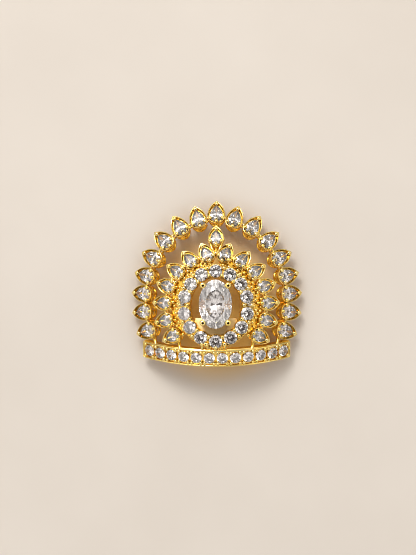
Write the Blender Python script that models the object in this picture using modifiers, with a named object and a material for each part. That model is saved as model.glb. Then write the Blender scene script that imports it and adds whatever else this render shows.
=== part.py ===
"""Deity crown: a cast openwork crown front set with clear stones, lying on its back, face up.

The crown is laid out as a drawing, x across and h up, seen square on from a little above. The drawing falls on
a dome that bows back to both sides and leans back as it rises. All of it is built standing on the band, with y
to the back, and is then turned as one to lie on its back on a table. The origin is under the middle of it.
"""

import math

import bmesh
import bpy
from mathutils import Matrix, Vector

MM = 0.001

# Dome that the crown is built on
FOOT_RADIUS = 20.5 * MM
RISE_RADIUS = 34.0 * MM
DRAWN_FROM = math.radians(18.3)

# Stones: width and length over the girdle, and their cut
OUTER_STONE = (2.4 * MM, 3.6 * MM)
INNER_STONE = (2.15 * MM, 2.9 * MM)
HALO_STONE = 2.44 * MM
BAND_STONE = 2.05 * MM
CENTRE_STONE = (6.1 * MM, 9.0 * MM)
TABLE_SHARE = 0.56
CROWN_SHARE = 0.17
PAVILION_SHARE = 0.43
CULET_SHARE = 0.1
STONE_CLEARANCE = 0.06 * MM
SEAT_DROP = 0.04 * MM

# Base band
BAND_HEIGHT = 3.2 * MM
BAND_THICKNESS = 1.25 * MM
BAND_STONES = 12
BAND_GAP = 0.39 * MM
BAND_END_WALL = 0.5 * MM
RAIL_HEIGHT = 0.38 * MM
RAIL_PROUD = 0.14 * MM

# Halo and its tiny side stones, which take half a place of the ring
HALO_PLACES = 14.5
HALO_GAP = 0.12 * MM
HALO_STRETCH = 0.55 * MM
HALO_TOP_STEP = math.radians(26.2)
HALO_FOOT_STEP = math.radians(27.5)
HALO_STEP_SHRINK = math.radians(1.5)
HALO_QUARTER_STONES = 3
HALO_WALL = 0.22 * MM
HALO_DEPTH = 1.7 * MM
HALO_OVER_BAND = 0.1 * MM

# Centre stone and its claws
CENTRE_LIFT = 0.4 * MM
CENTRE_RISE = 0.9 * MM
CLAW_RADIUS = 0.34 * MM
CLAW_BALL = 0.45 * MM
CLAW_PLACE = 1.12
CLAW_TOP = 0.34 * MM

# Inner arch of pear cups, spaced round the halo's centre
INNER_SIDE_CUPS = 7
INNER_GAP = 0.46 * MM
INNER_START = math.radians(10.5)
INNER_STEP = math.radians(19.0)
INNER_TIP_START = math.radians(28.0)
INNER_TIP_STEP = math.radians(15.0)
INNER_TOP_LIFT = 2.95 * MM

# Outer arch of pear cups
OUTER_SIDE_CUPS = 8
ARCH_SPACE = 4.0 * MM
TOP_SPACE = 4.5 * MM
OUTER_CENTRE_LIFT = 0.95 * MM
OUTER_SWEEP = math.radians(110.5)
SHOULDER_DRIFT = math.radians(4.2)
TOP_LIFT = 0.45 * MM

# Cups, prongs and beads
CUP_RIM = 0.5 * MM
CUP_TIP = 1.0 * MM
CUP_DEPTH = 1.95 * MM
CUP_TAPER = 0.82
SEAT_SHARE = 0.6
SEAT_REACH = 1.2
PRONG_RADIUS = 0.3 * MM
PRONG_RISE = 0.4 * MM
BEAD_RADIUS = 0.36 * MM
BEAD_TAPER = 0.7
HALO_BEAD_OUT = 0.95 * MM

# Web, bridge plate and links
WEB_START = math.radians(8.0)
WEB_END = math.radians(78.0)
WEB_WIDTH = 1.4 * MM
WEB_DROP = 0.55 * MM
WEB_THICKNESS = 0.8 * MM
BRIDGE_TOP = 8.9 * MM
BRIDGE_HALF_TURN = math.radians(55)
BRIDGE_DROP = 1.05 * MM
BRIDGE_THICKNESS = 0.6 * MM
LINK_RADIUS = 0.4 * MM
OVERLAP = 0.25 * MM

# Facets
PEAR_ROUND_STEPS = 4
PEAR_SIDE_STEPS = 3
ROUND_SIDES = 8
OVAL_SIDES = 16
BEAD_SIDES = 4
LINK_SIDES = 6
HALO_STEPS = 30
BAND_STEPS = 12
WEB_STEPS = 7
BRIDGE_STEPS = 6

# Sizes that follow
BAND_PITCH = BAND_STONE + BAND_GAP
HALO_HALF_WIDTH = (HALO_STONE + HALO_GAP) / (2 * math.sin(math.pi / HALO_PLACES))
HALO_HALF_HEIGHT = HALO_HALF_WIDTH + HALO_STRETCH
HALO_EDGE = HALO_STONE / 2 + STONE_CLEARANCE + HALO_WALL
HALO_CENTRE = BAND_HEIGHT * math.cos(DRAWN_FROM) + HALO_OVER_BAND + HALO_EDGE + HALO_HALF_HEIGHT
INNER_RADIUS = HALO_HALF_WIDTH + HALO_EDGE + INNER_GAP + CUP_RIM + INNER_STONE[1] / 2
INNER_TOP = HALO_CENTRE + INNER_RADIUS + INNER_TOP_LIFT
OUTER_CENTRE = HALO_CENTRE + OUTER_CENTRE_LIFT
OUTER_HALF_WIDTH = INNER_RADIUS + ARCH_SPACE
OUTER_HALF_HEIGHT = INNER_TOP + TOP_SPACE - TOP_LIFT - OUTER_CENTRE


def clear_scene():
    for obj in list(bpy.data.objects):
        bpy.data.objects.remove(obj, do_unlink=True)


def new_collection(name):
    collection = bpy.data.collections.new(name)
    bpy.context.scene.collection.children.link(collection)
    return collection


def new_material(name, colour, metallic, roughness, transmission=0.0):
    material = bpy.data.materials.new(name)
    material.use_nodes = True
    shader = material.node_tree.nodes["Principled BSDF"]
    shader.inputs["Base Color"].default_value = (*colour, 1.0)
    shader.inputs["Metallic"].default_value = metallic
    shader.inputs["Roughness"].default_value = roughness
    shader.inputs["Transmission Weight"].default_value = transmission
    material.diffuse_color = (*colour, 1.0)
    return material


def fall(radius, way):
    """How far a circle of this radius has fallen back, this way along its tangent."""
    return radius - math.sqrt(radius**2 - way**2)


def on_dome(x, h):
    """The dome's point that the drawing's point falls on, and the dome's normal there."""
    low, high = 0.0, RISE_RADIUS
    for _ in range(60):
        z = (low + high) / 2
        back = fall(FOOT_RADIUS, x) + fall(RISE_RADIUS, z)
        if back * math.sin(DRAWN_FROM) + z * math.cos(DRAWN_FROM) > h:
            high = z
        else:
            low = z
    normal = Vector((math.tan(math.asin(x / FOOT_RADIUS)), -1, math.tan(math.asin(z / RISE_RADIUS))))
    return Vector((x, back, z)), normal.normalized()


def below_dome(x, h, drop):
    """The point that lies this far behind the dome."""
    point, normal = on_dome(x, h)
    return point - normal * drop


def seat(x, h, turn=0.0, rise=0.0):
    """A frame on the dome: +Z out of it, and +Y along the drawing's direction at the angle turn from up."""
    point, normal = on_dome(x, h)
    sight = Vector((0, math.cos(DRAWN_FROM), -math.sin(DRAWN_FROM)))
    up = Vector((0, math.sin(DRAWN_FROM), math.cos(DRAWN_FROM)))
    drawn = Vector((1, 0, 0)) * math.sin(turn) + up * math.cos(turn)
    along = (drawn - sight * (drawn.dot(normal) / sight.dot(normal))).normalized()
    frame = Matrix((along.cross(normal), along, normal)).transposed().to_4x4()
    frame.translation = point + normal * rise
    return frame


def band_point(x, behind, z):
    """A point of the band, at this distance behind its face."""
    turn = math.asin(max(-1.0, min(1.0, x / FOOT_RADIUS)))
    radius = FOOT_RADIUS - behind
    return Vector((radius * math.sin(turn), FOOT_RADIUS - radius * math.cos(turn), z))


def band_seats():
    """Frames of the band's stones from left to right, on its upright face."""
    frames = []
    for k in range(BAND_STONES):
        turn = (k - (BAND_STONES - 1) / 2) * BAND_PITCH / FOOT_RADIUS
        out = Vector((math.sin(turn), -math.cos(turn), 0))
        up = Vector((0, 0, 1))
        frame = Matrix((up.cross(out), up, out)).transposed().to_4x4()
        frame.translation = band_point(FOOT_RADIUS * math.sin(turn), 0, BAND_HEIGHT / 2)
        frames.append(frame)
    return frames


def outer_seats():
    """Frames of the outer arch from left to right, with the tips square to the arch."""
    frames = []
    for k in range(-OUTER_SIDE_CUPS, OUTER_SIDE_CUPS + 1):
        share = abs(k) / OUTER_SIDE_CUPS
        angle = OUTER_SWEEP * share + SHOULDER_DRIFT * math.sin(math.pi * share) ** 2
        x = OUTER_HALF_WIDTH * math.sin(angle)
        h = OUTER_HALF_HEIGHT * math.cos(angle)
        turn = math.atan2(x / OUTER_HALF_WIDTH**2, h / OUTER_HALF_HEIGHT**2)
        side = math.copysign(1, k)
        lift = TOP_LIFT if k == 0 else 0
        frames.append(seat(side * x, OUTER_CENTRE + h + lift, side * turn))
    return frames


def inner_seats():
    """Frames of the inner arch from the lowest on the left to the lowest on the right."""
    places = [(0.0, INNER_TOP, 0.0)]
    for k in range(INNER_SIDE_CUPS):
        angle = INNER_START + k * INNER_STEP
        x = INNER_RADIUS * math.sin(angle)
        h = HALO_CENTRE + INNER_RADIUS * math.cos(angle)
        turn = INNER_TIP_START + k * INNER_TIP_STEP
        places = [(-x, h, -turn)] + places + [(x, h, turn)]
    return [seat(*place) for place in places]


def halo_angles():
    """Angles of the halo stones from the top, all the way round."""
    top, foot = (
        [k * step - k * (k - 1) / 2 * HALO_STEP_SHRINK for k in range(1, HALO_QUARTER_STONES + 1)]
        for step in (HALO_TOP_STEP, HALO_FOOT_STEP)
    )
    side = top + [math.pi - angle for angle in reversed(foot)]
    return [0.0] + side + [math.pi] + [math.tau - angle for angle in reversed(side)]


def on_halo(angle, out=0.0):
    """The drawing's point at this angle of the halo's middle line, or out from it."""
    x = (HALO_HALF_WIDTH + out) * math.sin(angle)
    return x, HALO_CENTRE + (HALO_HALF_HEIGHT + out) * math.cos(angle)


def pear_outline(width, length, shift=0.0):
    """A pear with its tip at +Y, anticlockwise: a half circle, then two arcs that meet at the tip."""
    radius = width / 2
    middle = radius - length / 2
    rise = length / 2 - middle
    side_radius = (rise * rise + radius * radius) / width
    tip_angle = math.asin(min(1.0, rise / side_radius))
    right = []
    for k in range(PEAR_SIDE_STEPS):
        angle = tip_angle * k / PEAR_SIDE_STEPS
        right.append((radius - side_radius * (1 - math.cos(angle)), middle + side_radius * math.sin(angle)))
    left = [(-x, y) for x, y in reversed(right)]
    bottom = []
    for k in range(1, PEAR_ROUND_STEPS):
        angle = math.pi * (1 + k / PEAR_ROUND_STEPS)
        bottom.append((radius * math.cos(angle), middle + radius * math.sin(angle)))
    return [(x, y + shift) for x, y in right + [(0.0, length / 2)] + left + bottom]


def oval_outline(width, length, sides):
    turns = [math.tau * (k + 0.5) / sides for k in range(sides)]
    return [(width / 2 * math.cos(turn), length / 2 * math.sin(turn)) for turn in turns]


def ring(outline, z, share=1.0, middle=(0.0, 0.0)):
    """The outline as points at the height z, drawn in to a share of its size round its middle."""
    cx, cy = middle
    return [Vector((cx + (x - cx) * share, cy + (y - cy) * share, z)) for x, y in outline]


def loft(mesh, rings, frame, end=None):
    """Adds a closed solid through rings of as many points each, down to a flat cap or to an end point."""
    loops = [[mesh.verts.new(frame @ point) for point in points] for points in rings]
    count = len(loops[0])
    mesh.faces.new(loops[0])
    for upper, lower in zip(loops, loops[1:]):
        for k in range(count):
            mesh.faces.new((upper[k], lower[k], lower[(k + 1) % count], upper[(k + 1) % count]))
    last = loops[-1]
    if end is None:
        mesh.faces.new(list(reversed(last)))
        return
    tip = mesh.verts.new(frame @ end)
    for k in range(count):
        mesh.faces.new((last[k], tip, last[(k + 1) % count]))


def mesh_object(name, mesh, collection, material=None):
    data = bpy.data.meshes.new(name)
    bmesh.ops.recalc_face_normals(mesh, faces=mesh.faces)
    mesh.to_mesh(data)
    mesh.free()
    obj = bpy.data.objects.new(name, data)
    collection.objects.link(obj)
    if material:
        data.materials.append(material)
    return obj


def helper(name, mesh, collection):
    """A shape that is only joined to the frame or cut from it."""
    obj = mesh_object(name, mesh, collection)
    obj.hide_render = True
    obj.display_type = "WIRE"
    return obj


def dome_sheet(name, rows, collection, thickness):
    """A sheet through rows of points, made solid backwards. A row that repeats the first closes it."""
    mesh = bmesh.new()
    closed = rows[0] == rows[-1]
    loops = [[mesh.verts.new(point) for point in row] for row in rows[: -1 if closed else None]]
    pairs = list(zip(loops, loops[1:] + loops[:1] if closed else loops[1:]))
    for one, other in pairs:
        for a, b, c, d in zip(one, one[1:], other[1:], other):
            mesh.faces.new((a, d, c, b))
    obj = helper(name, mesh, collection)
    facing = sum((face.normal for face in obj.data.polygons), Vector())
    if facing.y > 0:
        obj.data.flip_normals()
    solid = obj.modifiers.new("Thickness", "SOLIDIFY")
    solid.thickness = thickness
    solid.offset = -1
    return obj


class Setting:
    """One stone's cut, size and frame, from which the stone and its open seat are made."""

    def __init__(self, name, outline, width, frame, hole, middle=(0.0, 0.0)):
        self.name, self.outline, self.width, self.frame = name, outline, width, frame
        self.hole_depth, self.hole_share = hole
        self.middle = middle

    def rings(self, grow=0.0):
        """Table and girdle, grown by a clearance all round."""
        size = 1 + 2 * grow / self.width
        table = ring(self.outline, CROWN_SHARE * self.width + grow, TABLE_SHARE * size, self.middle)
        return [table, ring(self.outline, 0.0, size, self.middle)]

    def add_stone(self, collection, material):
        mesh = bmesh.new()
        culet = Vector((*self.middle, -PAVILION_SHARE * self.width))
        loft(mesh, self.rings(), self.frame, culet)
        return mesh_object(self.name, mesh, collection, material)

    def add_seat(self, mesh):
        rings = self.rings(STONE_CLEARANCE)
        rings.append(ring(self.outline, -self.hole_depth, self.hole_share, self.middle))
        loft(mesh, rings, self.frame)


def pear_settings():
    settings = []
    groups = (("outer_pear", OUTER_STONE, outer_seats()), ("inner_pear", INNER_STONE, inner_seats()))
    for name, (width, length), frames in groups:
        outline = pear_outline(width, length)
        middle = (0.0, width / 2 - length / 2)
        hole = (SEAT_REACH * CUP_DEPTH, SEAT_SHARE)
        for k, frame in enumerate(frames, 1):
            settings.append(Setting(f"{name}_{k:02d}", outline, width, frame, hole, middle))
    return settings


def round_settings():
    halo_frames = [seat(*on_halo(angle)) for angle in halo_angles()]
    groups = (
        ("halo_round", HALO_STONE, halo_frames, HALO_DEPTH),
        ("band_round", BAND_STONE, band_seats(), BAND_THICKNESS),
    )
    settings = []
    for name, width, frames, depth in groups:
        outline = oval_outline(width, width, ROUND_SIDES)
        hole = (SEAT_REACH * depth, SEAT_SHARE)
        for k, frame in enumerate(frames, 1):
            settings.append(Setting(f"{name}_{k:02d}", outline, width, frame, hole))
    return settings


def centre_setting():
    width, length = CENTRE_STONE
    frame = seat(0.0, HALO_CENTRE + CENTRE_LIFT, 0.0, CENTRE_RISE)
    hole = (PAVILION_SHARE * width + STONE_CLEARANCE, CULET_SHARE)
    return Setting("centre_oval", oval_outline(width, length, OVAL_SIDES), width, frame, hole)


def add_bead(name, frame, y, radius, bottom, collection):
    """A short post with a smaller head, standing on the frame's plane."""
    mesh = bmesh.new()
    place = frame @ Matrix.Translation((0, y, (PRONG_RISE + bottom) / 2))
    bmesh.ops.create_cone(
        mesh,
        cap_ends=True,
        segments=BEAD_SIDES,
        radius1=radius,
        radius2=radius * BEAD_TAPER,
        depth=PRONG_RISE - bottom,
        matrix=place,
    )
    return helper(name, mesh, collection)


def add_link(name, start, end, radius, collection):
    """A straight bar between two points."""
    mesh = bmesh.new()
    run = end - start
    place = Matrix.Translation((start + end) / 2) @ run.to_track_quat("Z", "Y").to_matrix().to_4x4()
    bmesh.ops.create_cone(
        mesh,
        cap_ends=True,
        segments=LINK_SIDES,
        radius1=radius,
        radius2=radius,
        depth=run.length,
        matrix=place,
    )
    return helper(name, mesh, collection)


def add_cups(collection):
    """The pear cups of both arches, with a prong at each tip."""
    for name, (width, length), frames in (
        ("outer_cup", OUTER_STONE, outer_seats()),
        ("inner_cup", INNER_STONE, inner_seats()),
    ):
        outline = pear_outline(width + 2 * CUP_RIM, length + CUP_RIM + CUP_TIP, (CUP_TIP - CUP_RIM) / 2)
        tip = length / 2 + STONE_CLEARANCE + PRONG_RADIUS
        for k, frame in enumerate(frames, 1):
            mesh = bmesh.new()
            loft(mesh, [ring(outline, -SEAT_DROP), ring(outline, -CUP_DEPTH, CUP_TAPER)], frame)
            helper(f"{name}_{k:02d}", mesh, collection)
            add_bead(f"{name}_prong_{k:02d}", frame, tip, PRONG_RADIUS, -2 * PRONG_RADIUS, collection)


def add_shoulders(collection):
    """A thick short bar between each two neighbours of an arch, which joins their cups at the widest place."""
    for name, (width, length), frames in (
        ("outer_shoulder", OUTER_STONE, outer_seats()),
        ("inner_shoulder", INNER_STONE, inner_seats()),
    ):
        side = Vector(((width + CUP_RIM) / 2, 0, 0))
        middle = Vector((0, (width - length) / 2, -BEAD_RADIUS))
        for k, (one, other) in enumerate(zip(frames, frames[1:]), 1):
            add_link(f"{name}_{k:02d}", one @ (middle + side), other @ (middle - side), BEAD_RADIUS, collection)


def add_halo(collection):
    """The ring under the halo stones, and a bead inside and outside between each two of them."""
    rows = []
    for k in range(HALO_STEPS + 1):
        angle = math.tau * (k % HALO_STEPS) / HALO_STEPS
        rows.append([below_dome(*on_halo(angle, out), SEAT_DROP) for out in (-HALO_EDGE, HALO_EDGE)])
    dome_sheet("halo_ring", rows, collection, HALO_DEPTH)
    angles = halo_angles()
    for k, (one, other) in enumerate(zip(angles, angles[1:] + [math.tau]), 1):
        for side, out in (("out", HALO_BEAD_OUT), ("in", -HALO_BEAD_OUT)):
            frame = seat(*on_halo((one + other) / 2, out))
            add_bead(f"halo_bead_{side}_{k:02d}", frame, 0, PRONG_RADIUS, -2 * PRONG_RADIUS, collection)


def add_web(collection):
    """The plate that fills between the halo and the upper cups, on both sides of the small gap at the top."""
    for name, side in (("web_right", 1), ("web_left", -1)):
        rows = []
        for k in range(WEB_STEPS + 1):
            angle = side * (WEB_START + (WEB_END - WEB_START) * k / WEB_STEPS)
            reach = (HALO_EDGE - OVERLAP, HALO_EDGE - OVERLAP + WEB_WIDTH)
            rows.append([below_dome(*on_halo(angle, out), WEB_DROP) for out in reach])
        dome_sheet(name, rows, collection, WEB_THICKNESS)


def add_bridge(collection):
    """The plain plate that closes the lower part of the halo's opening behind the centre stone."""
    rows = []
    for k in range(BRIDGE_STEPS + 1):
        angle = math.pi + BRIDGE_HALF_TURN * (1 - 2 * k / BRIDGE_STEPS)
        x, low = on_halo(angle, OVERLAP - HALO_EDGE)
        rows.append([below_dome(x, h, BRIDGE_DROP) for h in (low, BRIDGE_TOP)])
    dome_sheet("bridge_plate", rows, collection, BRIDGE_THICKNESS)


def add_claws(collection):
    """Four posts with ball ends that hold the centre stone."""
    frame = centre_setting().frame
    reach = CLAW_PLACE * math.sqrt(0.5) / 2
    for k, (sx, sy) in enumerate(((1, 1), (-1, 1), (-1, -1), (1, -1)), 1):
        x, y = sx * CENTRE_STONE[0] * reach, sy * CENTRE_STONE[1] * reach
        top = Vector((x, y, CLAW_TOP))
        foot = below_dome(x, HALO_CENTRE + CENTRE_LIFT + y, BRIDGE_DROP + BRIDGE_THICKNESS / 2)
        add_link(f"claw_{k}", foot, frame @ top, CLAW_RADIUS, collection)
        mesh = bmesh.new()
        bmesh.ops.create_icosphere(
            mesh, subdivisions=1, radius=CLAW_BALL, matrix=frame @ Matrix.Translation(top)
        )
        helper(f"claw_ball_{k}", mesh, collection)


def from_top(frames, k):
    """The frame that is k places from the top one, to the right or, below zero, to the left."""
    return frames[len(frames) // 2 + k]


def add_links(collection):
    """The short bars between the arches, and from the arches and the halo down to the band."""
    outer, inner = outer_seats(), inner_seats()
    deep = -CUP_DEPTH / 2
    outer_round = Vector((0, (OUTER_STONE[0] - OUTER_STONE[1]) / 2, deep))
    inner_round = Vector((0, (INNER_STONE[0] - INNER_STONE[1]) / 2, deep))
    outer_foot = Vector((0, -(OUTER_STONE[1] + CUP_RIM) / 2, deep))
    inner_foot = Vector((0, -(INNER_STONE[1] + CUP_RIM) / 2, deep))
    inner_tip = Vector((0, (INNER_STONE[1] + CUP_TIP) / 2, deep))

    def bar(name, start, end):
        add_link(name, start, end, LINK_RADIUS, collection)

    def post(name, start):
        bar(name, start, band_point(start.x, BAND_THICKNESS / 2, BAND_HEIGHT - OVERLAP))

    def valley(frames, middle, one, other):
        return (from_top(frames, one) @ middle + from_top(frames, other) @ middle) / 2

    bar("link_top", from_top(inner, 0) @ inner_tip, from_top(outer, 0) @ outer_foot)
    bar("link_neck", from_top(inner, 0) @ inner_foot, valley(inner, inner_round, -1, 1))
    for side, name in ((1, "right"), (-1, "left")):
        for cup in (INNER_SIDE_CUPS - 2, INNER_SIDE_CUPS - 1):
            tip = from_top(inner, side * cup) @ inner_tip
            bar(f"link_{name}_{cup}", tip, valley(outer, outer_round, side * (cup + 1), side * (cup + 2)))
        outer_side = Vector((side * (OUTER_STONE[0] + CUP_RIM) / 2, 0, 0))
        inner_side = Vector((side * (INNER_STONE[0] + CUP_RIM) / 2, 0, 0))
        post(f"post_outer_{name}", from_top(outer, side * OUTER_SIDE_CUPS) @ (outer_round + outer_side))
        post(f"post_inner_{name}", from_top(inner, side * INNER_SIDE_CUPS) @ (inner_round + inner_side))
        foot = on_halo(math.pi - side * HALO_FOOT_STEP / 2, HALO_EDGE - OVERLAP)
        post(f"post_halo_{name}", below_dome(*foot, HALO_DEPTH / 2))


def add_band(collection, material):
    """The base band: a profile with a rail along each edge, spun round the dome's axis."""
    face = FOOT_RADIUS - SEAT_DROP
    back = FOOT_RADIUS - BAND_THICKNESS
    proud = face + RAIL_PROUD
    profile = [(back, 0), (proud, 0), (proud, RAIL_HEIGHT), (face, RAIL_HEIGHT)]
    profile += [(radius, BAND_HEIGHT - z) for radius, z in reversed(profile)]
    reach = ((BAND_STONES - 1) * BAND_PITCH + BAND_STONE) / 2 + STONE_CLEARANCE + BAND_END_WALL
    half_turn = reach / FOOT_RADIUS
    mesh = bmesh.new()
    axis = Vector((0, FOOT_RADIUS, 0))
    start = Matrix.Rotation(-half_turn, 3, "Z")
    corners = [mesh.verts.new(axis + start @ Vector((0, -radius, z))) for radius, z in profile]
    end = mesh.faces.new(corners)
    bmesh.ops.spin(
        mesh, geom=[end], cent=axis, axis=(0, 0, 1), angle=2 * half_turn, steps=BAND_STEPS, use_merge=False
    )
    return mesh_object("cast_frame", mesh, collection, material)


def add_boolean(obj, name, operation, **operand):
    boolean = obj.modifiers.new(name, "BOOLEAN")
    boolean.operation = operation
    boolean.solver = "EXACT"
    for key, value in operand.items():
        setattr(boolean, key, value)


def solid_points(obj):
    """The finished mesh's points, and its volume and centre of volume."""
    evaluated = obj.evaluated_get(bpy.context.evaluated_depsgraph_get())
    mesh = evaluated.to_mesh()
    mesh.calc_loop_triangles()
    points = [vertex.co.copy() for vertex in mesh.vertices]
    volume, moment = 0.0, Vector()
    for triangle in mesh.loop_triangles:
        a, b, c = (points[k] for k in triangle.vertices)
        share = a.dot(b.cross(c)) / 6
        volume += share
        moment += (a + b + c) / 4 * share
    evaluated.to_mesh_clear()
    return points, moment / volume


def back_outline(points):
    """The outermost points of the crown's back seen from the side, from the foot up."""
    corners = []
    for point in sorted(points, key=lambda point: (point.z, point.y)):
        while len(corners) > 1:
            step, run = corners[-1] - corners[-2], point - corners[-2]
            if step.y * run.z > run.y * step.z:
                break
            corners.pop()
        corners.append(point)
    return corners


def rest_matrix(points, centre):
    """The turn and shift that lay the crown on a level table, with the origin under its middle."""
    outline = back_outline(points)
    high = next(k for k, point in enumerate(outline) if point.z > centre.z)
    step = outline[high] - outline[high - 1]
    turn = Matrix.Rotation(-math.atan2(step.z, step.y), 3, "X")
    laid = [turn @ point for point in points]
    lowest = [min(point[axis] for point in laid) for axis in range(3)]
    highest = [max(point[axis] for point in laid) for axis in range(3)]
    middle = Vector(((lowest[0] + highest[0]) / 2, (lowest[1] + highest[1]) / 2, lowest[2]))
    return Matrix.Translation(-middle) @ turn.to_4x4()


def main():
    clear_scene()
    crown = new_collection("deity_crown")
    joined = new_collection("joined_shapes")
    cutters = new_collection("seat_cutters")
    gold = new_material("gold_plated_brass", (0.86, 0.62, 0.22), 1.0, 0.18)
    clear = new_material("clear_stone", (0.97, 0.97, 1.0), 0.0, 0.02, 1.0)

    frame = add_band(crown, gold)
    add_cups(joined)
    add_shoulders(joined)
    add_halo(joined)
    add_web(joined)
    add_bridge(joined)
    add_claws(joined)
    add_links(joined)

    settings = pear_settings() + round_settings() + [centre_setting()]
    seats = bmesh.new()
    for setting in settings:
        setting.add_seat(seats)
    seat_cutter = helper("seat_cutter", seats, cutters)
    add_boolean(frame, "Cast as one", "UNION", operand_type="COLLECTION", collection=joined)
    add_boolean(frame, "Stone seats", "DIFFERENCE", object=seat_cutter)
    stones = [setting.add_stone(crown, clear) for setting in settings]

    bpy.context.view_layer.update()
    pose = bpy.data.objects.new("crown_at_rest", None)
    crown.objects.link(pose)
    pose.matrix_world = rest_matrix(*solid_points(frame))
    for collection in (crown, joined, cutters):
        for obj in collection.objects:
            if obj is not pose:
                obj.parent = pose


main()
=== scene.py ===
import math

import bmesh
import bpy
from mathutils import Matrix, Vector


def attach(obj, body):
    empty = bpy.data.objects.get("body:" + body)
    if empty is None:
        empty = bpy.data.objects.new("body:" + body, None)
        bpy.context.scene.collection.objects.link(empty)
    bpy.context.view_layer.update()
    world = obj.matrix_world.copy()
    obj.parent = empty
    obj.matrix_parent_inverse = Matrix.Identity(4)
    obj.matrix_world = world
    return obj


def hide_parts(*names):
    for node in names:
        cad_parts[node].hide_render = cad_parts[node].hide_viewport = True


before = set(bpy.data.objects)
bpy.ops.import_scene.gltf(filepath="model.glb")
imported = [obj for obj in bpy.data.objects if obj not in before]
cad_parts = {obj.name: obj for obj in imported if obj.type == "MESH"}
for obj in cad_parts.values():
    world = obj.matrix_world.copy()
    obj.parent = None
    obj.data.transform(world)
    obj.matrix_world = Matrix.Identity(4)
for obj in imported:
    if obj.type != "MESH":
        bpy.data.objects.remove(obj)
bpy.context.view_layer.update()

scene = bpy.context.scene
MM = 0.001

# Dome that the crown is built on, and how the crown lies
FOOT_RADIUS = 20.5 * MM
RISE_RADIUS = 34.0 * MM
DRAWN_FROM = math.radians(18.3)
LYING_TURN = -math.radians(72.387)
LYING_SHIFT = Vector((0, -15.366, 6.516)) * MM
FRAME_DEPTH = 1.95 * MM
DOME_HALVINGS = 50
DOME_REACH = 0.95

# Stones: width and length over the girdle, the cut as shares of the width, and points round the outline
OUTER_STONE = (2.4 * MM, 3.6 * MM)
INNER_STONE = (2.15 * MM, 2.9 * MM)
HALO_STONE = 2.44 * MM
BAND_STONE = 2.05 * MM
CENTRE_STONE = (6.1 * MM, 9.0 * MM)
SIDE_STONE = (0.76 * MM, 1.3 * MM)
TABLE_SHARE = 0.57
CROWN_SHARE = 0.13
GIRDLE_SHARE = 0.02
PAVILION_SHARE = 0.44
CENTRE_PAVILION_SHARE = 0.70
PEAR_PAVILION_SHARE = 0.38
PEAR_POINT_SHARE = 0.2
MAIN_FACETS = 8
CENTRE_FACETS = 12
STAR_SHARE = 0.5
LOWER_HALF_SHARE = 0.3
OUTER_TIER = (0.62, 0.50)
INNER_TIER = (0.30, 0.78)
ROUND_SIDES = 32
CENTRE_SIDES = 48
PEAR_SIDE_STEPS = 8
PEAR_CUT_STEPS = 16
PEAR_CUP_STEPS = 12

# Base band
BAND_HEIGHT = 3.2 * MM
BAND_THICKNESS = 1.25 * MM
BAND_STONES = 12
BAND_PITCH = 2.44 * MM
BAND_END_WALL = 0.56 * MM
BAND_STEPS = 48
RAIL_RADIUS = 0.16 * MM
BAND_FACE_DROP = 0.3 * MM
CELL_SLOT = 0.32 * MM
CELL_SLOT_HEIGHT = 1.7 * MM
CELL_SLOT_DEPTH = 1.0 * MM
CELL_CORNER_OUT = 0.88 * MM
CELL_CORNER_UP = 1.04 * MM

# Halo
HALO_HALF_WIDTH = 5.954 * MM
HALO_HALF_HEIGHT = 6.504 * MM
HALO_CENTRE = 11.143 * MM
HALO_TOP_STEP = math.radians(26.2)
HALO_FOOT_STEP = math.radians(27.5)
HALO_STEP_SHRINK = math.radians(1.5)
HALO_QUARTER_STONES = 3
HALO_INNER_EDGE = 1.14 * MM
HALO_OUTER_EDGE = 1.3 * MM
HALO_INNER_FLARE = -0.1 * MM
HALO_TOP_DROP = 0.34 * MM
HALO_DEPTH = 1.7 * MM
HALO_STEPS = 96
HALO_BEAD_OUT = 0.72 * MM
EDGE_BEADS = 96
EDGE_BEAD_BALL = 0.19 * MM
EDGE_BEAD_OUT = 1.24 * MM
SIDE_STONE_ANGLE = math.radians(87)
SIDE_STONE_OUT = 0.45 * MM
SIDE_STONE_RISE = 0.12 * MM
SIDE_BEAD_SPREAD = math.radians(4.5)
SIDE_BEAD_OUT = 1.2 * MM
WIDE_GAP = 1.2

# Holes drilled under the round stones, as shares of a stone or of the plate's thickness, and edges of plates
DRILL_SIDES = 20
DRILL_BACK = 0.3
HALO_DRILL_FACE = 0.47
HALO_DRILL_DEPTH = 1.2
BAND_DRILL_FACE = 0.49
BAND_DRILL_DEPTH = 1.4
BAND_DRILL_DROP = 0.55
PLATE_EDGE = 0.12 * MM
PLATE_BEVEL = 0.08 * MM
BEVEL_FROM = math.radians(50)

# Centre stone, its claws and the bridge plate behind it
CENTRE_LIFT = 0.4 * MM
CENTRE_RISE = 0.9 * MM
CLAW_RADIUS = 0.34 * MM
CLAW_BALL = 0.57 * MM
CLAW_PLACE = 1.1
CLAW_FOOT_OUT = (1.08, 1.04)
CLAW_TOP = 0.2 * MM
CLAW_BALL_TOP = 0.3 * MM
CLAW_BALL_IN = 0.985
CLAW_SHARES = (0, 0.3, 0.6, 1.0)
CLAW_SWELL = (1.25, 1.0, 0.92, 1.0)
BRIDGE_TOP = 8.9 * MM
BRIDGE_FOOT = 5.8 * MM
BRIDGE_HALF_TURN = math.radians(55)
BRIDGE_DROP = 1.05 * MM
BRIDGE_TILT = 0.45 * MM
BRIDGE_THICKNESS = 0.55 * MM
BRIDGE_HOLD = 0.25 * MM
BRIDGE_STEPS = 24
BRIDGE_ROWS = 4

# Inner arch of pear cups, spaced round the halo's centre
INNER_SIDE_CUPS = 7
INNER_RADIUS = 9.864 * MM
INNER_START = math.radians(10.5)
INNER_STEP = math.radians(19.0)
INNER_TIP_START = math.radians(28.0)
INNER_TIP_STEP = math.radians(15.0)
INNER_TOP = 23.957 * MM

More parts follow.
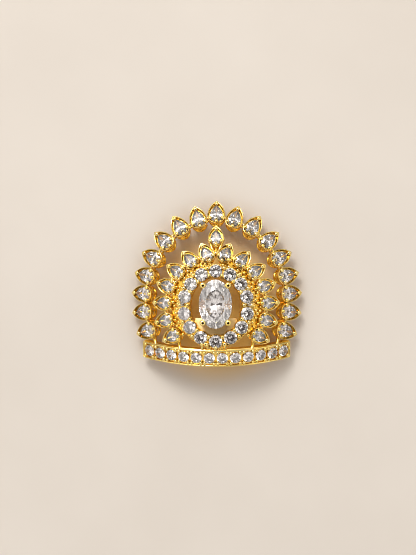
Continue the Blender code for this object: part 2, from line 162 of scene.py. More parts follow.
# Outer arch of pear cups
OUTER_SIDE_CUPS = 8
OUTER_CENTRE = 12.093 * MM
OUTER_HALF_WIDTH = 13.864 * MM
OUTER_HALF_HEIGHT = 15.914 * MM
OUTER_SWEEP = math.radians(110.5)
SHOULDER_DRIFT = math.radians(4.2)
TOP_LIFT = 0.45 * MM

# Settings: millimetres out from the stone's edge and up from its girdle, round each wall's section
PEAR_COLLAR = (
    (-0.16, -0.52), (0.02, -0.50), (0.22, -0.50), (0.28, -0.20), (0.31, 0.02), (0.34, 0.09), (0.39, 0.11),
    (0.44, 0.09), (0.47, 0.02), (0.47, -0.08), (0.44, -0.30), (0.38, -0.52), (0.30, -0.64), (-0.02, -0.64),
)
PEAR_RAIL = (
    (-0.08, -1.56), (0.10, -1.50), (0.20, -1.60), (0.18, -1.88), (0.02, -1.95), (-0.50, -1.92),
    (-0.52, -1.82), (-0.14, -1.74),
)
ROUND_COLLAR = (
    (-0.16, -0.55), (-0.04, -0.18), (0.01, -0.13), (0.06, -0.15), (0.09, -0.24), (0.09, -0.80),
    (-0.16, -0.80),
)
COLLAR_SIDES = 24
INNER_REACH = 0.88
GALLERY_POSTS = 6
GALLERY_SIDES = 6
POST_TOP = (0.24 * MM, -0.45 * MM)
POST_FOOT = (0.04 * MM, -1.78 * MM)
POST_END = 0.26 * MM
POST_WAIST = 0.13 * MM
POST_SHARES = (0.0, 0.2, 0.5, 0.8, 1.0)
SMOOTH_UP_TO = math.radians(35)

# Beads and prongs: radius, place and post
PRONG_BALL = 0.36 * MM
PRONG_POST = 0.6 * MM
PRONG_OUT = 0.03 * MM
TIP_PRONG_SIZE = 1.12
TIP_PRONG_OUT = 0.2 * MM
TIP_PRONG_SHRINK = 3
SHOULDER_TURN = math.radians(67)
BEAD_BALL = 0.36 * MM
BEAD_POST = 0.7 * MM
BEAD_RISE = 0.14 * MM
EDGE_BEAD_POST = 0.3 * MM
CELL_BEAD_BALL = 0.32 * MM
CELL_BEAD_POST = 0.4 * MM
CLAW_BALL_POST = 0.3 * MM
BEAD_FLATNESS = 0.7
CLAW_FLATNESS = 0.54
BEAD_RINGS = 7
CLAW_RINGS = 14
SIDES_A_RING = 1.6
BEAD_POST_SHARE = 0.72
BEAD_POST_SIDES = 8
FILLER_BALL = 0.31 * MM
FILLER_SPACING = 0.7 * MM
FILLER_DENSITY = 2.0e7
FILLER_SIZES = (0.8, 1.1)
FILLER_SEED = 4

# Web between the halo and the inner arch
WEB_START = math.radians(8.0)
WEB_END = math.radians(130.0)
WEB_FROM = 1.2 * MM
WEB_WIDTH = 1.5 * MM
WEB_DROP = 0.85 * MM
WEB_BEAD_DROP = 0.3 * MM
WEB_THICKNESS = 0.8 * MM
WEB_STEPS = 28
WEB_ROWS = 3

# Links: bars from cup to cup and down to the band
LINK_RADIUS = 0.36 * MM
LINK_SWELL = (1.25, 1.0, 0.9, 1.0, 1.25)
LINK_SHARES = (0, 0.25, 0.5, 0.75, 1)
LINK_TIP_OUT = 0.4 * MM
LINK_WALL = 0.2 * MM
LINK_BAND_DROP = 0.3 * MM
NEIGHBOUR_DROP = 0.35 * MM
NEIGHBOUR_OUT = 0.25 * MM
NEIGHBOUR_RADIUS = 0.26 * MM
LOW_DROP = 1.1 * MM
LOW_IN = 0.9
LOW_RADIUS = 0.2 * MM
LINK_SIDES = 8
CLAW_SIDES = 12
WIRE_SIDES = 10
PATH_CLOSED_WITHIN = 0.001 * MM

# Beads under the halo and on the stem of the top cup, and bracing wires with a radius each, in millimetres
# across and up in the drawing
FOOT_BEADS = ((-2.57, 4.10), (-1.90, 4.16), (1.68, 4.16), (0.0, 3.50))
STEM_BEADS = ((0.0, 22.3), (0.0, 21.0))
STEM_BEAD_RISE = -0.05 * MM
BRACE_DROP = 0.25 * MM
FOOT_WIRES = (
    (0.26, ((-2.52, 4.00), (-2.52, 3.40), (-2.52, 2.80))),
    (0.26, ((1.72, 4.00), (1.82, 3.40), (1.82, 2.80))),
    (0.17, ((-1.90, 4.10), (-1.62, 3.60), (-1.52, 2.85))),
    (0.17, ((-1.53, 3.75), (-0.96, 3.10), (-0.30, 2.45))),
    (0.17, ((1.45, 3.75), (0.92, 3.10), (0.30, 2.45))),
    (0.17, ((0.52, 2.85), (0.62, 3.50), (0.94, 3.80), (1.26, 3.55), (1.40, 2.85))),
)

# Where the photograph's view is taken from
CAMERA_DISTANCE = 440 * MM
VIEW_ACROSS = -1.62 * MM
VIEW_UP = 16.46 * MM
VIEW_DEPTH = 5.0 * MM
VIEW_WIDTH = 77.6 * MM
VIEW_TURN = math.radians(2.0)
SENSOR_WIDTH = 36
NEAREST_SEEN = 10 * MM
PIXEL_BLUR = 1.0

# Finishes: colours, and the patch sizes and ranges of the noise that varies them
STONE_CLEARNESS = 0.96
CENTRE_CLEARNESS = 0.92
STONE_IOR = 2.15
STONE_CLEAR = (0.99, 0.948, 0.922)
STONE_TINGE = (0.975, 0.918, 0.932)
STONE_PATCH = 2.2 * MM
STONE_RANGE = (0.4, 0.65)
GOLD_BRIGHT = (1.0, 0.795, 0.33)
GOLD_WARM = (0.99, 0.73, 0.20)
# Painted shade: the deeper orange that the gold turns in its recesses
GOLD_RECESS_SHADE = (0.90, 0.52, 0.035)
PLATE_BRIGHT = (0.84, 0.62, 0.34)
PLATE_WARM = (0.78, 0.56, 0.28)
GOLD_PATCH = 1.6 * MM
TONE_RANGE = (0.35, 0.65)
SMEAR_PATCH = 0.5 * MM
SMEAR_RANGE = (0.3, 0.7)
SMEAR_ROUGHNESS = 0.04
RECESS_ROUGHNESS = 0.14
RECESS_DEPTH = 0.6 * MM
GRAIN_HEIGHT = 0.02 * MM
NOISE_ROUGHNESS = 0.55
FLOOR_PALE = (0.72, 0.655, 0.59)
FLOOR_SOFT = (0.75, 0.685, 0.62)
# Painted golden light on the floor close under the crown, as if bounced off the gold
FLOOR_GOLD_BOUNCE = (0.93, 0.62, 0.17)
FLOOR_PATCH = 30 * MM
FLOOR_ROUGHNESS = 0.6
FLOOR_HALF_WIDTH = 0.5
# Middle of the painted golden bounce light, and where it is full and where it ends
GOLD_BOUNCE_MIDDLE = (0, -4.5 * MM, 0)
GOLD_BOUNCE_CORE = 8 * MM
GOLD_BOUNCE_EDGE = 16 * MM

# Light: soft surroundings with a ceiling, a shade round the camera and a window, each with its direction
# and with the angles from that where it ends and where it is full, and a key light
AROUND = 0.42
AIR_COLOUR = (1.0, 0.97, 0.925)
CEILING_PATCH = ((0, 0.12, 1), 72, 56)
CEILING_LIGHT = 0.70
SHADE_PATCH = ((0.06, -0.08, 1.0), 31, 29)
SHADE_COLOUR = (0.012, 0.006, 0.003)
WINDOW_PATCH = ((-0.3, 1.0, 0.95), 24, 10)
WINDOW_LIGHT = 2.6
KEY_PLACE = (-0.12, 0.34, 0.34)
KEY_SIZE = 0.16
KEY_POWER = 0.8
KEY_COLOUR = (1.0, 0.98, 0.95)

LYING = Matrix.Translation(LYING_SHIFT) @ Matrix.Rotation(LYING_TURN, 4, "X")
SIGHT = Vector((0, math.cos(DRAWN_FROM), -math.sin(DRAWN_FROM)))
DRAWN_UP = Vector((0, math.sin(DRAWN_FROM), math.cos(DRAWN_FROM)))


# Places on the crown

def fall(radius, way):
    """How far a circle of this radius has fallen back, this way along its tangent."""
    return radius - math.sqrt(radius**2 - way**2)


def on_dome(x, h):
    """The point of the standing crown's dome that the drawing's point falls on, and the normal there."""
    low, high = 0.0, RISE_RADIUS
    for _ in range(DOME_HALVINGS):
        z = (low + high) / 2
        back = fall(FOOT_RADIUS, x) + fall(RISE_RADIUS, z)
        if back * math.sin(DRAWN_FROM) + z * math.cos(DRAWN_FROM) > h:
            high = z
        else:
            low = z
    normal = Vector((math.tan(math.asin(x / FOOT_RADIUS)), -1, math.tan(math.asin(z / RISE_RADIUS))))
    return Vector((x, back, z)), normal.normalized()


def behind_dome(x, h, drop):
    """The lying crown's point this far behind the dome."""
    point, normal = on_dome(x, h)
    return LYING @ (point - normal * drop)


def seat(x, h, turn=0.0, rise=0.0):
    """A frame on the lying crown: +Z out of its face, +Y along the drawing at this turn from up."""
    point, normal = on_dome(x, h)
    drawn = Vector((1, 0, 0)) * math.sin(turn) + DRAWN_UP * math.cos(turn)
    along = (drawn - SIGHT * (drawn.dot(normal) / SIGHT.dot(normal))).normalized()
    place = Matrix((along.cross(normal), along, normal)).transposed().to_4x4()
    place.translation = point + normal * rise
    return LYING @ place


def on_band(arc, proud, z):
    """A frame on the band, at this length along its face and this far out of it."""
    turn = arc / FOOT_RADIUS
    out = Vector((math.sin(turn), -math.cos(turn), 0))
    up = Vector((0, 0, 1))
    place = Matrix((up.cross(out), up, out)).transposed().to_4x4()
    place.translation = Vector((0, FOOT_RADIUS, z)) + out * (FOOT_RADIUS + proud)
    return LYING @ place


def on_halo(angle, out=0.0):
    """The drawing's point at this angle of the halo's middle line, or out from it."""
    return (HALO_HALF_WIDTH + out) * math.sin(angle), HALO_CENTRE + (HALO_HALF_HEIGHT + out) * math.cos(angle)


def outer_seats():
    seats = []
    for k in range(-OUTER_SIDE_CUPS, OUTER_SIDE_CUPS + 1):
        share = abs(k) / OUTER_SIDE_CUPS
        angle = OUTER_SWEEP * share + SHOULDER_DRIFT * math.sin(math.pi * share) ** 2
        x, h = OUTER_HALF_WIDTH * math.sin(angle), OUTER_HALF_HEIGHT * math.cos(angle)
        turn = math.atan2(x / OUTER_HALF_WIDTH**2, h / OUTER_HALF_HEIGHT**2)
        side = math.copysign(1, k)
        seats.append(seat(side * x, OUTER_CENTRE + h + (TOP_LIFT if k == 0 else 0), side * turn))
    return seats


def inner_seats():
    places = [(0.0, INNER_TOP, 0.0)]
    for k in range(INNER_SIDE_CUPS):
        angle = INNER_START + k * INNER_STEP
        x, h = INNER_RADIUS * math.sin(angle), HALO_CENTRE + INNER_RADIUS * math.cos(angle)
        turn = INNER_TIP_START + k * INNER_TIP_STEP
        places = [(-x, h, -turn)] + places + [(x, h, turn)]
    return [seat(*place) for place in places]


def halo_angles():
    top, foot = (
        [k * step - k * (k - 1) / 2 * HALO_STEP_SHRINK for k in range(1, HALO_QUARTER_STONES + 1)]
        for step in (HALO_TOP_STEP, HALO_FOOT_STEP)
    )
    side = top + [math.pi - angle for angle in reversed(foot)]
    return [0.0] + side + [math.pi] + [math.tau - angle for angle in reversed(side)]


def halo_seats():
    return [seat(*on_halo(angle)) for angle in halo_angles()]


def cell_arcs(count):
    """Places a cell's width apart along the band, the same to both sides of its middle."""
    return [(k - (count - 1) / 2) * BAND_PITCH for k in range(count)]


def band_seats():
    return [on_band(arc, 0, BAND_HEIGHT / 2) for arc in cell_arcs(BAND_STONES)]


def centre_seat():
    return seat(0.0, HALO_CENTRE + CENTRE_LIFT, 0.0, CENTRE_RISE)


# Outlines and meshes

def pear_outline(width, length, shift, round_steps):
    """A pear with its tip at +Y, anticlockwise from its widest place on the right."""
    radius = width / 2
    middle = radius - length / 2
    rise = length / 2 - middle
    side_radius = (rise * rise + radius * radius) / width
    tip_angle = math.asin(min(1.0, rise / side_radius))
    right = []
    for k in range(PEAR_SIDE_STEPS):
        angle = tip_angle * k / PEAR_SIDE_STEPS
        right.append((radius - side_radius * (1 - math.cos(angle)), middle + side_radius * math.sin(angle)))
    left = [(-x, y) for x, y in reversed(right)]
    bottom = []
    for k in range(1, round_steps):
        angle = math.pi * (1 + k / round_steps)
        bottom.append((radius * math.cos(angle), middle + radius * math.sin(angle)))
    return [(x, y + shift) for x, y in right + [(0.0, length / 2)] + left + bottom]


def pear_round(stone, round_steps):
    """The outline of a pear stone, at any distance out from its edge. The tip goes out twice as fast."""
    width, length = stone
    return lambda out: pear_outline(width + 2 * out, length + 3 * out, out / 2, round_steps)


def turns(count):
    """The angles of a full turn in equal steps."""
    return [math.tau * k / count for k in range(count)]


def oval_round(width, length, sides):
    """The outline of a round or oval stone, at any distance out from its edge."""
    return lambda out: [
        ((width / 2 + out) * math.cos(turn), (length / 2 + out) * math.sin(turn)) for turn in turns(sides)
    ]


def skin(mesh, rings, closed=True):
    """Joins each ring of points to the next, and the last to the first, or else fills both ends."""
    loops = [[mesh.verts.new(point) for point in ring] for ring in rings]
    for one, other in zip(loops, loops[1:] + loops[:1] if closed else loops[1:]):
        for corners in zip(one, one[1:] + one[:1], other[1:] + other[:1], other):
            mesh.faces.new(corners)
    if not closed:
        mesh.faces.new(loops[0])
        mesh.faces.new(loops[-1])


def wall_round(mesh, outline, section):
    """A wall that follows an outline, with a section of millimetres out and up."""
    skin(mesh, [[Vector((x, y, z * MM)) for x, y in outline(out * MM)] for out, z in section])


def placed(name, data):
    """A new object in the scene."""
    obj = bpy.data.objects.new(name, data)
    scene.collection.objects.link(obj)
    return obj


def new_object(name, mesh, turn_out=True):
    """A mesh object of a bmesh, with its faces turned out unless they are right already."""
    if turn_out:
        bmesh.ops.recalc_face_normals(mesh, faces=mesh.faces)
    data = bpy.data.meshes.new(name)
    mesh.to_mesh(data)
    mesh.free()
    return placed(name, data)


def soften(obj):
    """Shades an object smooth, apart from its edges of more than SMOOTH_UP_TO."""
    obj.data.shade_smooth()
    obj.data.set_sharp_from_angle(angle=SMOOTH_UP_TO)
    return obj


def settled(obj, name=None):
    """The object with its modifiers' result as its plain mesh."""
    bpy.context.view_layer.update()
    data = bpy.data.meshes.new_from_object(obj.evaluated_get(bpy.context.evaluated_depsgraph_get()))
    while len(data.materials) > 1:
        data.materials.pop(index=0)
    obj.modifiers.clear()
    obj.data = data
    obj.name = data.name = name or obj.name
    return obj


def cut_away(obj, cutter):
    """Cuts one mesh out of another and removes it."""
    cut = obj.modifiers.new("Cut", "BOOLEAN")
    cut.operation, cut.solver, cut.object = "DIFFERENCE", "EXACT", cutter
    settled(obj)
    bpy.data.objects.remove(cutter, do_unlink=True)


# Node trees

class Value:
    """A socket of a node tree that can be used in sums."""

    def __init__(self, nodes, socket):
        self.nodes, self.socket = nodes, socket

    def sum(self, operation, other):
        return self.nodes.node("ShaderNodeMath", {0: self, 1: other}, operation=operation)

    def __add__(self, other):
        return self.sum("ADD", other)

    def __mul__(self, other):
        return self.sum("MULTIPLY", other)

    __radd__ = __add__


class Nodes:
    """A node tree, built node by node."""

    def __init__(self, tree):
        self.tree = tree

    def link(self, value, socket):
        if isinstance(value, Value):
            self.tree.links.new(value.socket, socket)
        else:
            socket.default_value = value

    def node(self, kind, values=None, output=0, **settings):
        """Adds a node, with its settings and the values or links of its sockets, and gives one output."""
        node = self.tree.nodes.new(kind)
        for key, value in settings.items():
            setattr(node, key, value)
        for key, value in (values or {}).items():
            self.link(value, node.inputs[key])
        return Value(self, node.outputs[output])


class Growth(Nodes):
    """A geometry tree with named inputs, of which the last is its finish."""

    def __init__(self, name, **inputs):
        super().__init__(bpy.data.node_groups.new(name, "GeometryNodeTree"))
        self.keys = {}
        inputs = {"Geometry": ("Geometry", None), **inputs, "Finish": ("Material", None)}
        for label, (kind, value) in inputs.items():
            socket = self.tree.interface.new_socket(label, in_out="INPUT", socket_type="NodeSocket" + kind)
            if value is not None:
                socket.default_value = value
            self.keys[label] = socket.identifier
        self.tree.interface.new_socket("Geometry", in_out="OUTPUT", socket_type="NodeSocketGeometry")
        sockets = self.tree.nodes.new("NodeGroupInput").outputs
        self.given = {label: Value(self, sockets[label]) for label in inputs}

    def attribute(self, name, kind):
        return self.node("GeometryNodeInputNamedAttribute", {"Name": name}, data_type=kind)

    def copies(self, points, piece, turn, size=(1, 1, 1)):
        """A copy of the piece on each of the points."""
        values = {"Points": points, "Instance": piece, "Rotation": turn, "Scale": size}
        return self.node("GeometryNodeInstanceOnPoints", values)

    def close(self, geometry, smooth=False):
        """Ends the tree: instances made real, shading, and the finish from the input of that name."""
        geometry = self.node("GeometryNodeRealizeInstances", {"Geometry": geometry})
        if smooth:
            geometry = self.node("GeometryNodeSetShadeSmooth", {"Geometry": geometry})
        values = {"Geometry": geometry, "Material": self.given["Finish"]}
        geometry = self.node("GeometryNodeSetMaterial", values)
        self.link(geometry, self.tree.nodes.new("NodeGroupOutput").inputs[0])
        return self


def grown(name, obj, growth, **inputs):
    """Runs a geometry tree on an object and keeps the result as its plain mesh."""
    modifier = obj.modifiers.new(name, "NODES")
    modifier.node_group = growth.tree
    for label, value in inputs.items():
        modifier[growth.keys[label.replace("_", " ")]] = value
    return settled(obj, name)


def bead_inputs(ball, post_length):
    return {
        "Ball": ("Float", ball),
        "Post Length": ("Float", post_length),
        "Rings": ("Int", BEAD_RINGS),
        "Flatness": ("Float", BEAD_FLATNESS),
    }


def bead_nodes(growth):
    """A flattened ball on a thinner round post, as the tree's inputs say."""
    ball, length, rings, flatness = (growth.given[key] for key in bead_inputs(0, 0))
    values = {"Segments": rings * SIDES_A_RING, "Rings": rings, "Radius": ball}
    sphere = growth.node("GeometryNodeMeshUVSphere", values)
    lower = growth.node("ShaderNodeCombineXYZ", {"X": 1.0, "Y": 1.0, "Z": flatness})
    flat = growth.node("GeometryNodeTransform", {"Geometry": sphere, "Scale": lower})
    values = {"Vertices": BEAD_POST_SIDES, "Radius": ball * BEAD_POST_SHARE, "Depth": length}
    post = growth.node("GeometryNodeMeshCylinder", values, fill_type="NONE")
    down = growth.node("ShaderNodeCombineXYZ", {"Z": length * -0.5})
    post = growth.node("GeometryNodeTransform", {"Geometry": post, "Translation": down})
    bead = growth.node("GeometryNodeJoinGeometry")
    for part in (flat, post):
        growth.link(part, bead.socket.node.inputs[0])
    return bead


def bead_growth():
    """A ball on a short post at each point, turned and sized by the point's own attributes."""
    growth = Growth("Cast beads", **bead_inputs(BEAD_BALL, BEAD_POST))
    turn, size = growth.attribute("turn", "FLOAT_VECTOR"), growth.attribute("size", "FLOAT")
    return growth.close(growth.copies(growth.given["Geometry"], bead_nodes(growth), turn, size), True)


def row_growth():
    """A copy of one piece on each seat."""
    growth = Growth("Pieces on seats", Piece=("Object", None))
    piece = growth.node("GeometryNodeObjectInfo", {"Object": growth.given["Piece"]}, "Geometry")
    turn = growth.attribute("turn", "FLOAT_VECTOR")
    return growth.close(growth.copies(growth.given["Geometry"], piece, turn))


def wire_growth():
    """A round wire along each path, as thick as its points say."""
    growth = Growth("Cast wires", Sides=("Int", LINK_SIDES))
    path = growth.node("GeometryNodeMeshToCurve", {"Mesh": growth.given["Geometry"]})
    values = {"Resolution": growth.given["Sides"], "Radius": 1.0}
    circle = growth.node("GeometryNodeCurvePrimitiveCircle", values)
    radius = growth.attribute("radius", "FLOAT")
    values = {"Curve": path, "Profile Curve": circle, "Scale": radius, "Fill Caps": True}
    return growth.close(growth.node("GeometryNodeCurveToMesh", values), True)


def filler_growth():
    """Beads spread over a plate, no two closer than the spacing, each sized at random within limits."""
    inputs = bead_inputs(FILLER_BALL, WEB_DROP - WEB_BEAD_DROP)
    growth = Growth("Filler beads", **inputs, Spacing=("Float", FILLER_SPACING), Seed=("Int", FILLER_SEED))
    plate, spacing, seed = (growth.given[key] for key in ("Geometry", "Spacing", "Seed"))
    values = {"Mesh": plate, "Distance Min": spacing, "Density Max": FILLER_DENSITY, "Seed": seed}
    points = growth.node("GeometryNodeDistributePointsOnFaces", values, distribute_method="POISSON")
    turn = Value(growth, points.socket.node.outputs["Rotation"])
    limits = {2: FILLER_SIZES[0], 3: FILLER_SIZES[1], "Seed": seed}
    size = growth.node("FunctionNodeRandomValue", limits, 1, data_type="FLOAT")
    return growth.close(growth.copies(points, bead_nodes(growth), turn, size), True)


def store(data, name, kind, values):
    """Gives each point of a mesh its value or vector."""
    field = "vector" if kind == "FLOAT_VECTOR" else "value"
    for point, value in zip(data.attributes.new(name, kind, "POINT").data, values):
        setattr(point, field, value)


def seat_points(name, seats, sizes=None):
    """A point at each seat, with its turn and its size."""
    data = bpy.data.meshes.new(name)
    data.from_pydata([place.translation for place in seats], [], [])
    store(data, "turn", "FLOAT_VECTOR", [place.to_euler() for place in seats])
    store(data, "size", "FLOAT", sizes or [1.0] * len(seats))
    return placed(name, data)


def wire_paths(name, paths):
    """Edges along each path of points and radii. A path that ends where it starts is closed."""
    points, edges, radii = [], [], []
    for path, thickness in paths:
        closed = (path[0] - path[-1]).length < PATH_CLOSED_WITHIN
        first = len(points)
        used = path[:-1] if closed else path
        points += used
        radii += thickness[: len(used)]
        edges += [(first + k, first + k + 1) for k in range(len(used) - 1)]
        if closed:
            edges.append((first + len(used) - 1, first))
    data = bpy.data.meshes.new(name)
    data.from_pydata(points, edges, [])
    store(data, "radius", "FLOAT", radii)
    return placed(name, data)


# Finishes

class Shading(Nodes):
    """The nodes of a material or of the world."""

    def __init__(self, owner):
        owner.use_nodes = True
        super().__init__(owner.node_tree)
        self.owner = owner

    def stretched(self, value, low, high, reach=1.0, **settings):
        """The value's range from low to high, spread from 0 to the reach."""
        values = {"Value": value, "From Min": low, "From Max": high, "To Max": reach}
        return self.node("ShaderNodeMapRange", values, **settings)

    def facing(self, ways, axis, edge, core):
        """1 within the core angle of an axis, falling to 0 at the edge angle. Both are in degrees."""
        axis = Vector(axis).normalized()
        dot = self.node("ShaderNodeVectorMath", {0: ways, 1: axis}, "Value", operation="DOT_PRODUCT")
        low, high = math.cos(math.radians(edge)), math.cos(math.radians(core))
        return self.stretched(dot, low, high, interpolation_type="SMOOTHSTEP")

    def between(self, share, one, other):
        """A colour that goes from one to the other with the share."""
        mix = self.node("ShaderNodeMix", {"Factor": share}, data_type="RGBA").socket.node
        first, second = (socket for socket in mix.inputs if socket.type == "RGBA")
        self.link((*one, 1) if isinstance(one, tuple) else one, first)
        self.link((*other, 1), second)
        return Value(self, next(socket for socket in mix.outputs if socket.type == "RGBA"))


class Finish(Shading):
    """A material with its shader, and the nodes that vary it over a piece."""

    def __init__(self, name, **plain):
        super().__init__(bpy.data.materials.new(name))
        self.shader = self.tree.nodes["Principled BSDF"]
        for label, value in plain.items():
            self.shader.inputs[label.replace("_", " ")].default_value = value

    def places(self):
        return self.node("ShaderNodeTexCoord", output="Object")

    def noise(self, size, detail=2.0):
        """Cloudy variation with patches of about this size."""
        values = {"Vector": self.places(), "Scale": 1 / size, "Detail": detail, "Roughness": NOISE_ROUGHNESS}
        return self.node("ShaderNodeTexNoise", values)

    def feed(self, label, value):
        self.link(value, self.shader.inputs[label])

    def bump(self, height, strength, distance):
        values = {"Strength": strength, "Distance": distance, "Height": height}
        self.feed("Normal", self.node("ShaderNodeBump", values))


def gold(name, roughness, grain, grain_strength, recess_shade_share=0.8, bright=GOLD_BRIGHT, warm=GOLD_WARM):
    """Yellow gold plate over a casting: painted shade, a deeper orange, in the recesses, which are also
    duller, with a fine cast grain.
    """
    finish = Finish(name, Metallic=1.0)
    recess = finish.node("ShaderNodeAttribute", output="Fac", attribute_name="recess")
    tone = finish.stretched(finish.noise(GOLD_PATCH), *TONE_RANGE)
    colour = finish.between(tone, bright, warm)
    # Painted shade: the base colour turns deeper orange the further a point lies in a recess
    finish.feed("Base Color", finish.between(recess * recess_shade_share, colour, GOLD_RECESS_SHADE))
    smear = finish.stretched(finish.noise(SMEAR_PATCH, detail=4.0), *SMEAR_RANGE, SMEAR_ROUGHNESS)
    finish.feed("Roughness", smear + recess * RECESS_ROUGHNESS + roughness)
    finish.bump(finish.noise(grain, detail=3.0), grain_strength, GRAIN_HEIGHT)
    return finish.owner


def clear_stone(name, clearness):
    """Clear colourless cut stone, seen through, with a trace of lilac in places."""
    finish = Finish(name, Metallic=0.0, Roughness=0.0, IOR=STONE_IOR, Transmission_Weight=clearness)
    tint = finish.stretched(finish.noise(STONE_PATCH), *STONE_RANGE)
    finish.feed("Base Color", finish.between(tint, STONE_CLEAR, STONE_TINGE))
    return finish.owner


def pale_floor():
    """A plain pale floor, with painted golden bounce light close under the crown."""
    finish = Finish("pale_floor", Roughness=FLOOR_ROUGHNESS)
    tone = finish.stretched(finish.noise(FLOOR_PATCH, detail=3.0), *TONE_RANGE)
    # Painted bounce light: the floor turns golden towards the middle under the crown
    spots = {0: finish.places(), 1: GOLD_BOUNCE_MIDDLE}
    away = finish.node("ShaderNodeVectorMath", spots, "Value", operation="DISTANCE")
    bounce_share = finish.stretched(away, GOLD_BOUNCE_EDGE, GOLD_BOUNCE_CORE, interpolation_type="SMOOTHSTEP")
    pale = finish.between(tone, FLOOR_PALE, FLOOR_SOFT)
    finish.feed("Base Color", finish.between(bounce_share, pale, FLOOR_GOLD_BOUNCE))
    return finish.owner


# Cut stones

def cut_stone(name, edge, width, middle_y=0.0, pavilion_share=PAVILION_SHARE, tiers=False, mains=MAIN_FACETS):
    """A brilliant cut inside an outline: table, stars, kites, girdle facets, a plain or tiered pavilion."""
    mesh = bmesh.new()
    crown, half_girdle, pavilion = CROWN_SHARE * width, GIRDLE_SHARE * width / 2, pavilion_share * width
    count = len(edge)
    step = count // mains
    half = step // 2
    first = max(range(count), key=lambda k: edge[k][1])
    slope = math.cos(math.pi / mains)
    table_share = TABLE_SHARE / slope
    star_share = STAR_SHARE * (1 + TABLE_SHARE)
    inner_share, inner_depth = INNER_TIER if tiers else (LOWER_HALF_SHARE, 1 - LOWER_HALF_SHARE * slope)

    def at(k, share, z):
        x, y = edge[(first + k) % count]
        return mesh.verts.new((x * share, middle_y + (y - middle_y) * share, z))

    def ring(start, share, z):
        return [at(k * step + start, share, z) for k in range(mains)]

    def crown_height(share):
        return half_girdle + crown * (1 - (share - table_share) / (1 - table_share))

    tables = ring(0, table_share, half_girdle + crown)
    stars = ring(half, star_share, crown_height(star_share * slope))
    upper = [at(k, 1.0, half_girdle) for k in range(count)]
    lower = [at(k, 1.0, -half_girdle) for k in range(count)]
    halves = ring(half, inner_share, -half_girdle - pavilion * inner_depth)
    if tiers:
        belt = ring(0, OUTER_TIER[0], -half_girdle - pavilion * OUTER_TIER[1])
    culet = mesh.verts.new((0, middle_y, -half_girdle - pavilion))
    mesh.faces.new(tables)
    for k in range(mains):
        after, before, here = (k + 1) % mains, (k - 1) % mains, k * step
        mesh.faces.new((tables[k], stars[k], tables[after]))
        mesh.faces.new((tables[k], stars[before], upper[here], stars[k]))
        if tiers:
            mesh.faces.new((culet, halves[k], halves[before]))
            mesh.faces.new((belt[k], halves[before], halves[k]))
            mesh.faces.new((belt[k], halves[k], belt[after]))
            mesh.faces.new((belt[k], belt[after], lower[(here + half) % count]))
        else:
            mesh.faces.new((culet, halves[k], lower[here], halves[before]))
        for start in (here, here + half):
            places = [(start + j) % count for j in range(half + 1)]
            point = halves[k] if not tiers else belt[k] if start == here else belt[after]
            mesh.faces.new([stars[k]] + [upper[place] for place in places])
            mesh.faces.new([point] + [lower[place] for place in reversed(places)])
    for k in range(count):
        mesh.faces.new((upper[k], upper[(k + 1) % count], lower[(k + 1) % count], lower[k]))
    return new_object(name, mesh)


def pear_stone(name, stone):
    middle_y = (stone[0] - stone[1]) / 2 * PEAR_POINT_SHARE
    return cut_stone(name, pear_round(stone, PEAR_CUT_STEPS)(0), stone[0], middle_y, PEAR_PAVILION_SHARE)


def oval_stone(name, width, length, sides=ROUND_SIDES, **cut):
    return cut_stone(name, oval_round(width, length, sides)(0), width, **cut)


# Settings

def post(mesh, start, end):
    """A round post that is thinner in its middle, so that two of them leave an arched window."""
    run = end - start
    turn = run.to_track_quat("Z", "Y").to_matrix()
    rings = []
    for share in POST_SHARES:
        radius = POST_WAIST + (POST_END - POST_WAIST) * (2 * share - 1) ** 2
        ring = [turn @ Vector((radius * math.cos(a), radius * math.sin(a), 0)) for a in turns(GALLERY_SIDES)]
        rings.append([start + run * share + point for point in ring])
    skin(mesh, rings, closed=False)


def pear_setting(name, stone, collar_reach):
    """An open setting: a collar round the stone, a rail below it, and posts between them."""
    mesh = bmesh.new()
    outline = pear_round(stone, PEAR_CUP_STEPS)
    wall_round(mesh, outline, [(out * collar_reach if out > 0 else out, up) for out, up in PEAR_COLLAR])
    wall_round(mesh, outline, PEAR_RAIL)
    top, foot = outline(POST_TOP[0]), outline(POST_FOOT[0])
    count = len(top)
    for k in range(GALLERY_POSTS):
        place = (PEAR_SIDE_STEPS + round(count * k / GALLERY_POSTS)) % count
        post(mesh, Vector((*top[place], POST_TOP[1])), Vector((*foot[place], POST_FOOT[1])))
    return soften(new_object(name, mesh))


def round_setting(name, width):
    mesh = bmesh.new()
    wall_round(mesh, oval_round(width, width, COLLAR_SIDES), ROUND_COLLAR)
    return soften(new_object(name, mesh))


def prong_places(seats, stone, collar_reach):
    """Frames and sizes of the balls that hold each pear: at its tip, at its foot and at both shoulders."""
    width, length = stone
    reach = width / 2 + PRONG_OUT
    across = reach * math.sin(SHOULDER_TURN)
    along = (width - length) / 2 - reach * math.cos(SHOULDER_TURN)
    tip = length / 2 + TIP_PRONG_OUT * (1 - TIP_PRONG_SHRINK * (1 - collar_reach))
    spots = [(0, tip), (0, -length / 2 - PRONG_OUT), (across, along), (-across, along)]
    places = [place @ Matrix.Translation((x, y, BEAD_RISE)) for place in seats for x, y in spots]
    return places, [TIP_PRONG_SIZE, 1.0, 1.0, 1.0] * len(seats)


def halo_bead_places():
    """Frames of the beads between the halo's stones. A wide gap has two beads outside it, and others one."""
    angles = halo_angles() + [math.tau]
    spots = []
    for one, other in zip(angles, angles[1:]):
        middle = (one + other) / 2
        spots.append((middle, -HALO_BEAD_OUT))
        if other - one < HALO_TOP_STEP * WIDE_GAP:
            spots.append((middle, HALO_BEAD_OUT))
        else:
            spots += [(middle + SIDE_BEAD_SPREAD, SIDE_BEAD_OUT), (middle - SIDE_BEAD_SPREAD, SIDE_BEAD_OUT)]
    return [seat(*on_halo(angle, out), 0, BEAD_RISE) for angle, out in spots]


